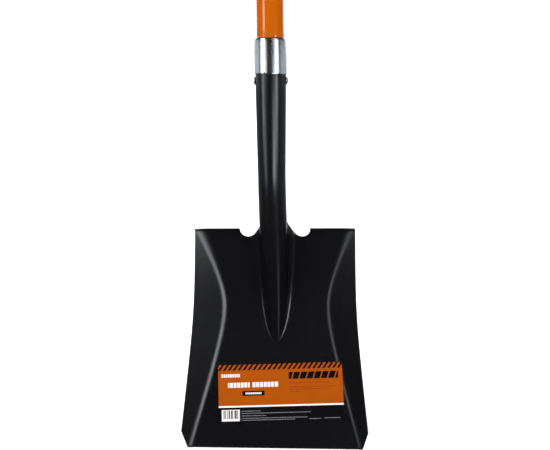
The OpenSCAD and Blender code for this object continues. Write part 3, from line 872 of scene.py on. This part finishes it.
# --- the grip ---
GRIP_W, ARM_W, ARM_DEPTH = 140.0, 21.0, 27.0
BOSS_R, BOSS_L, BAR_R = 17.5, 20.0, 13.0
ARM_TURN, ARM_STRAIGHT, SHOULDER_R, FOOT_R, FOOT_X = radians(75), 39.0, 34.0, 30.0, 12.0
NECK_L, NECK_R0, NECK_R1, BEAD_OUT, BEAD_H, NECK_CAP = 58.0, 21.6, 23.4, 1.4, 5.0, 26.0
WASHER_T, WASHER_R, RIVET_WASHER_R = 1.5, 9.0, 8.0
SINK, POCKET_R, SLEEVE_R = 3.0, 10.0, 16.0
BAR_END = GRIP_W / 2 - BOSS_L
ARM_OVERLAP, ARM_POWER, ARM_SECTIONS = 14.0, 0.72, 40
BOSS_EDGE, VOXEL, SMOOTHING, SMOOTH_STEPS = 3.2, 0.85, 0.5, 16
# Chamfers of the shaft's hole and of the rod head's pockets, and how far cutters reach past a face
HOLE_CHAMFER, POCKET_CHAMFER, POCKET_DEEP, PAST = 1.0, 1.6, 0.7, 0.9
SEAT_PLAY, SEAT_DEEP, PIN_REACH = 0.6, 6.0, 40.0
# Ribs of the sleeve: their number, the plain ends and the depth between them
RIBS, PLAIN_END, RIB_DEPTH, SLEEVE_PLAY, SLEEVE_EDGE = 19, 7.0, 0.9, 0.5, (0.2, 1.2)
RIB_PROFILE = (0.05, 0.22, 0.42, 0.6)


def grip_heights():
    """Heights of the bar, of the arms' feet and of the neck's lower end."""
    bar_z = middle_of(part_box("hand_bar"))
    foot_z = bar_z - ARM_STRAIGHT - (SHOULDER_R + FOOT_R) * sin(ARM_TURN)
    return bar_z, foot_z, foot_z - NECK_L


def arm_line(bar_z, foot_z):
    """Centre line of the right arm: (x, z, heading from upright) from inside the neck to the bar."""
    line = [(FOOT_X, foot_z - ARM_OVERLAP, 0.0)]
    for a in np.linspace(0, ARM_TURN, 22):
        line.append((FOOT_X + FOOT_R * (1 - cos(a)), foot_z + FOOT_R * sin(a), a))
    end_x, end_z = (GRIP_W - ARM_W) / 2 - SHOULDER_R, bar_z - ARM_STRAIGHT
    for a in np.linspace(ARM_TURN, 0, 22):
        line.append((end_x + SHOULDER_R * cos(a), end_z - SHOULDER_R * sin(a), a))
    line.append((line[-1][0], bar_z - 2, 0.0))
    return line


def squarish(value):
    """A sine or cosine pushed outwards, which turns an ellipse into a rounded block."""
    return copysign(abs(value) ** ARM_POWER, value)


def arm_mesh(line, side):
    sections, verts, faces = ARM_SECTIONS, [], []
    for x, z, heading in line:
        for k in range(sections):
            a = 2 * pi * k / sections
            across, deep = ARM_W / 2 * squarish(cos(a)), ARM_DEPTH / 2 * squarish(sin(a))
            px, pz = x + across * cos(heading), z - across * sin(heading)
            verts.append((side * px, deep, pz))
    for i in range(len(line) - 1):
        for k in range(sections):
            n = (k + 1) % sections
            a, b = i * sections, (i + 1) * sections
            faces.append((a + k, a + n, b + n, b + k))
    last = (len(line) - 1) * sections
    faces.append(tuple(range(sections - 1, -1, -1)))
    faces.append(tuple(range(last, last + sections)))
    if side < 0:
        faces = [tuple(reversed(f)) for f in faces]
    return verts, faces


def apply_modifiers(obj):
    """Bakes the object's modifiers into its mesh."""
    depsgraph = bpy.context.evaluated_depsgraph_get()
    made = bpy.data.meshes.new_from_object(obj.evaluated_get(depsgraph))
    old = obj.data
    obj.modifiers.clear()
    obj.data = made
    bpy.data.meshes.remove(old)
    return obj


def yoke_blank(bar_z, foot_z, neck_z):
    """Arms, bosses and neck melted into one body."""
    line = arm_line(bar_z, foot_z)
    parts = [arm_mesh(line, side) for side in (-1, 1)]
    boss = rounded_corners([(0, 0), (BOSS_R, 0), (BOSS_R, BOSS_L), (0, BOSS_L)], BOSS_EDGE, 6)
    for side in (1, -1):
        outline = [(r, side * h) for r, h in boss]
        parts.append(lathe(outline, "X", (side * BAR_END, 0, bar_z), 96, flip=side < 0))
    neck = [(0, 0), (NECK_R0 + BEAD_OUT, 0), (NECK_R0 + BEAD_OUT, BEAD_H), (NECK_R0, BEAD_H + 2)]
    neck += [(NECK_R1 * cos(a), NECK_L + NECK_CAP * sin(a))
             for a in np.linspace(0, pi / 2, 14)[:-1]]
    neck += [(0, NECK_L + NECK_CAP)]
    parts.append(lathe(neck, "Z", (0, 0, neck_z), 128))
    obj = make_object("grip_yoke_moulding", *joined(*parts), sharp_deg=None)
    remesh = obj.modifiers.new("voxels", "REMESH")
    remesh.mode = "VOXEL"
    remesh.voxel_size = VOXEL * MM
    remesh.use_smooth_shade = True
    smooth = obj.modifiers.new("smooth", "SMOOTH")
    smooth.factor = SMOOTHING
    smooth.iterations = SMOOTH_STEPS
    return apply_modifiers(obj)


def yoke_cutters(bar_z, neck_z):
    """Hole for the shaft, rod and rivet holes, pockets for the rod's heads, seats for washers."""
    shaft_hole, rivet_z = top_of("shaft_tube") + GAP, middle_of(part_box("grip_rivet"))
    wide, rod_hole, pin_hole = SHAFT_R + HOLE_CHAMFER, ROD_R + GAP, RIVET_R + GAP
    bore = [(0, neck_z - 2), (wide, neck_z - 2), (wide, neck_z),
            (SHAFT_R + GAP, neck_z + HOLE_CHAMFER), (SHAFT_R + GAP, shaft_hole), (0, shaft_hole)]
    rod = [(0, -GRIP_W), (rod_hole, -GRIP_W), (rod_hole, GRIP_W), (0, GRIP_W)]
    pin = [(0, -PIN_REACH), (pin_hole, -PIN_REACH), (pin_hole, PIN_REACH), (0, PIN_REACH)]
    cutters = [lathe(bore, "Z", (0, 0, 0), 128), lathe(rod, "X", (0, 0, bar_z), 48),
               lathe(pin, "Y", (0, 0, rivet_z), 48)]
    face, seat_r, seat_end = GRIP_W / 2, RIVET_WASHER_R + SEAT_PLAY, NECK_R1 + SEAT_DEEP
    for side in (-1, 1):
        pocket = [(0, side * (face - SINK)), (POCKET_R, side * (face - SINK)),
                  (POCKET_R, side * (face - POCKET_DEEP)),
                  (POCKET_R + POCKET_CHAMFER, side * (face + PAST)), (0, side * (face + PAST))]
        cutters.append(lathe(pocket, "X", (0, 0, bar_z), 96, flip=side < 0))
        seat = [(0, side * NECK_R1), (seat_r, side * NECK_R1), (seat_r, side * seat_end),
                (0, side * seat_end)]
        cutters.append(lathe(seat, "Y", (0, 0, rivet_z), 64, flip=side < 0))
    return cutters


def make_yoke(material):
    bar_z, foot_z, neck_z = grip_heights()
    obj = yoke_blank(bar_z, foot_z, neck_z)
    for k, cutter in enumerate(yoke_cutters(bar_z, neck_z)):
        tool = make_object(f"cutter_{k}", *cutter, sharp_deg=None)
        cut = obj.modifiers.new("cut", "BOOLEAN")
        cut.operation = "DIFFERENCE"
        cut.solver = "EXACT"
        cut.object = tool
        apply_modifiers(obj)
        mesh = tool.data
        bpy.data.objects.remove(tool)
        bpy.data.meshes.remove(mesh)
    obj.data.polygons.foreach_set("use_smooth", [True] * len(obj.data.polygons))
    obj.data.set_sharp_from_angle(angle=radians(38))
    dress(obj, "grip_yoke", material)


def make_washers(name, node, r, hole, start, axis, centre, material):
    """A pair of washers, start from the middle on either side."""
    outline = rounded_corners([(hole, 0), (r, 0), (r, WASHER_T), (hole, WASHER_T)], 0.35, 3)
    parts = [lathe([(p, side * (start + h)) for p, h in outline], axis, centre, 72, flip=side < 0)
             for side in (-1, 1)]
    dress(make_object(name, *joined(*parts)), node, material)


def make_sleeve(material):
    """Soft sleeve with shallow ribs round it."""
    half, (edge_in, edge_up) = BAR_END - SLEEVE_PLAY, SLEEVE_EDGE
    outline = [(BAR_R + GAP, -half), (SLEEVE_R - edge_in, -half), (SLEEVE_R, -half + edge_up)]
    pitch = 2 * (half - PLAIN_END) / RIBS
    for k in range(RIBS):
        down, low, high, up = (-half + PLAIN_END + (k + part) * pitch for part in RIB_PROFILE)
        outline += [(SLEEVE_R, down), (SLEEVE_R - RIB_DEPTH, low),
                    (SLEEVE_R - RIB_DEPTH, high), (SLEEVE_R, up)]
    outline += [(SLEEVE_R, half - edge_up), (SLEEVE_R - edge_in, half), (BAR_R + GAP, half)]
    verts, faces = lathe(rounded_corners(outline, 0.5, 3), "X", (0, 0, middle_of(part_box("hand_bar"))), 128)
    dress(make_object("hand_sleeve", verts, faces), "hand_bar_sleeve", material)


# --- the studio ---
PANEL_STEP = 5.0
PLAIN, COOL = (1, 1, 1), (0.92, 0.96, 1.0)
# Softboxes, each curved round the shaft's axis: name, left and right azimuth in degrees from -Y
# towards +X, distance, lower and upper edge in metres, strength, how far the light fades in from
# the sides, the lower and the upper edge, and its colour. The near ones light the socket, ferrule
# and shaft, and the far ones the blade, the grip and the back.
SOFTBOXES = (
    ("left_core", -62, -45, 0.60, 0.32, 0.557, 6.0, (0.3, 0.28, 0.02), COOL),
    ("shaft_core", -59, -35, 0.60, 0.557, 0.85, 8.0, (0.3, 0.02, 0.1), PLAIN),
    ("right_core", 40, 57, 0.60, 0.315, 0.556, 9.5, (0.3, 0.45, 0.03), COOL),
    ("left_haze", -80, -13, 0.63, 0.45, 0.556, 1.3, (0.3, 0.2, 0.03), COOL),
    ("right_haze", 20, 78, 0.63, 0.45, 0.556, 0.85, (0.35, 0.2, 0.03), COOL),
    ("left_side", -155, -76, 0.66, 0.455, 0.556, 0.65, (0.1, 0.1, 0.03), COOL),
    ("right_side", 74, 155, 0.66, 0.455, 0.556, 0.5, (0.1, 0.1, 0.03), COOL),
    ("left_side_low", -155, -76, 0.68, 0.0, 0.456, 0.22, (0.1, 0.5, 0.02), COOL),
    ("right_side_low", 74, 155, 0.68, 0.0, 0.456, 0.27, (0.1, 0.5, 0.02), COOL),
    ("left_crease", -50, -31, 1.5, 0.02, 0.36, 4.5, (0.3, 0.3, 0.2), COOL),
    ("right_crease", 15, 43, 1.5, 0.02, 0.36, 11.0, (0.25, 0.3, 0.2), COOL),
    ("wing_fill", 46, 72, 1.6, -0.15, 0.30, 0.2, (0.3, 0.2, 0.4), COOL),
    ("low_right", 34, 58, 1.5, -1.3, -0.52, 1.4, (0.3, 0.2, 0.45), COOL),
    ("grip_left", -80, -30, 1.5, 0.95, 1.9, 2.5, (0.3, 0.3, 0.3), PLAIN),
    ("grip_right", 20, 70, 1.5, 0.95, 1.9, 1.5, (0.3, 0.3, 0.3), PLAIN),
    ("back_left", -178, -118, 1.6, -0.1, 1.9, 2.0, (0.3, 0.1, 0.3), PLAIN),
    ("back_right", 125, 170, 1.6, -0.1, 1.9, 3.0, (0.3, 0.1, 0.3), PLAIN),
)
FLOOR_RINGS, SWEEP_R, WALL_TOP, FLOOR_SEGMENTS = (0.5, 1.5, 3.0, 5.0), 2.0, (4.0, 6.0), 96
FLOOR_GLOW, AIR_GLOW = 0.76, 0.02
# Camera: azimuth, elevation and roll in degrees, distance and target in metres, lens in mm
VIEW_ANGLES, VIEW_DISTANCE, VIEW_TARGET = (6.33, 4.45, 0.6), 2.0, (0.00229, 0.010, 0.2885)
LENS, SENSOR, FAR_CLIP = 101.98, 36.0, 50.0


def emission_material(name, strength, colour, soft_side, soft_low, soft_high):
    """Light of a softbox: even in the middle, falling off towards its edges."""
    s = Shader(name)
    uv = s.node("ShaderNodeUVMap", uv_map="face").outputs[0]
    split = s.node("ShaderNodeSeparateXYZ", {"Vector": uv})
    u, v = split.outputs[0], split.outputs[1]
    near = s.minus(0.5, s.math("ABSOLUTE", s.minus(u, 0.5)))
    power = s.times(s.remap(near, (0.0, soft_side), smooth=True), strength)
    power = s.times(power, s.remap(v, (0.0, soft_low), smooth=True))
    power = s.times(power, s.remap(v, (1.0 - soft_high, 1.0), (1.0, 0.0), smooth=True))
    light = s.node("ShaderNodeEmission", {"Color": (*colour, 1.0), "Strength": power})
    s.tree.links.new(light.outputs[0], s.out.inputs["Surface"])
    return s.material


def softbox(name, left, right, distance, low, high, strength, soft, colour):
    """A light panel curved round the shaft's axis, unseen by the camera."""
    steps = max(1, ceil((right - left) / PANEL_STEP))
    points, faces, places = [], [], []
    for k in range(steps + 1):
        a = radians(left + (right - left) * k / steps)
        for v, z in ((0, low), (1, high)):
            points.append((distance * sin(a) / MM, -distance * cos(a) / MM, z / MM))
            places.append((k / steps, v))
    for k in range(steps):
        faces.append((2 * k, 2 * k + 2, 2 * k + 3, 2 * k + 1))
    obj = make_object(name, points, faces, None)
    layer = obj.data.uv_layers.new(name="face")
    for loop in obj.data.loops:
        layer.data[loop.index].uv = places[loop.vertex_index]
    obj.data.materials.append(emission_material(name, strength, colour, *soft))
    obj.visible_camera = False


def make_floor():
    """Pale floor that sweeps up into a round backdrop far from the shovel."""
    flat, segments = FLOOR_RINGS[-1], FLOOR_SEGMENTS
    profile = [(r, 0.0) for r in FLOOR_RINGS]
    profile += [(flat + SWEEP_R * sin(a), SWEEP_R * (1 - cos(a)))
                for a in np.linspace(0, pi / 2, 16)[1:]]
    profile += [(flat + SWEEP_R, h) for h in WALL_TOP]
    verts, faces = [(0, 0, 0)], []
    for r, h in profile:
        for k in range(segments):
            a = 2 * pi * k / segments
            verts.append((r * cos(a) / MM, r * sin(a) / MM, h / MM))
    for k in range(segments):
        faces.append((0, 1 + k, 1 + (k + 1) % segments))
    for i in range(len(profile) - 1):
        lo, hi = 1 + i * segments, 1 + (i + 1) * segments
        for k in range(segments):
            n = (k + 1) % segments
            faces.append((lo + k, hi + k, hi + n, lo + n))
    obj = make_object("studio_floor", verts, faces, None)
    s = Shader("pale_floor")
    mottle = s.noise(3.0, 3.0)
    base = s.mix(s.remap(mottle), (0.86, 0.86, 0.86), (0.88, 0.88, 0.88))
    obj.data.materials.append(s.surface(Base_Color=base, Roughness=0.9,
                                        Emission_Color=(1.0, 1.0, 1.0), Emission_Strength=FLOOR_GLOW))
    obj.visible_glossy = False


def make_world():
    world = bpy.data.worlds.new("studio_air")
    scene.world = world
    world.use_nodes = True
    air = world.node_tree.nodes["Background"]
    air.inputs["Color"].default_value = (1, 1, 1, 1)
    air.inputs["Strength"].default_value = AIR_GLOW


def make_camera():
    azimuth, elevation, roll = (radians(v) for v in VIEW_ANGLES)
    back = Vector((sin(azimuth) * cos(elevation),
                   -cos(azimuth) * cos(elevation), sin(elevation)))
    right = Vector((cos(azimuth), sin(azimuth), 0.0))
    up = back.cross(right)
    turned_right = right * cos(roll) - up * sin(roll)
    turned_up = right * sin(roll) + up * cos(roll)
    place = Matrix((turned_right, turned_up, back)).transposed().to_4x4()
    place.translation = Vector(VIEW_TARGET) + VIEW_DISTANCE * back
    data = bpy.data.cameras.new("camera")
    data.lens, data.sensor_width, data.clip_end = LENS, SENSOR, FAR_CLIP
    camera = bpy.data.objects.new("camera", data)
    camera.matrix_world = place
    scene.collection.objects.link(camera)
    scene.camera = camera


def keep_cad_node(node, material):
    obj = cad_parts[node]
    obj.data.materials.clear()
    obj.data.materials.append(material)


# --- assembly ---
steel, wood = zinc_steel(), ash_wood()
bar_height, grip_rivet_height = middle_of(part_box("hand_bar")), middle_of(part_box("grip_rivet"))
make_blade(black_enamel())
make_label(label_paper())
make_ferrule(zinc_plate())
make_rivet("socket_cross_rivet", "socket_rivet", MOUTH_R + GAP, RIVET, "X", RIVET_Z, rivet_paint())
make_shaft(orange_fibreglass())
make_yoke(black_nylon())
make_rivet("grip_cross_rivet", "grip_rivet", NECK_R1 + WASHER_T + GAP, RIVET, "Y",
           grip_rivet_height, steel)
make_washers("grip_rivet_washer_pair", "grip_rivet_washers", RIVET_WASHER_R, RIVET_R + GAP,
             NECK_R1, "Y", (0, 0, grip_rivet_height), steel)
make_sleeve(soft_rubber())
make_rivet("hand_bar_steel_rod", "hand_bar_rod", GRIP_W / 2 - SINK + WASHER_T + GAP, ROD, "X",
           bar_height, steel)
make_washers("rod_washer_pair", "rod_washers", WASHER_R, ROD_R + GAP, GRIP_W / 2 - SINK,
             "X", (0, 0, bar_height), steel)
for hidden in ("lower_dowel", "upper_dowel", "hand_bar"):
    keep_cad_node(hidden, wood)

make_floor()
make_world()
for box in SOFTBOXES:
    softbox(*box)
make_camera()
scene.view_settings.view_transform = "Standard"
scene.view_settings.look = "None"
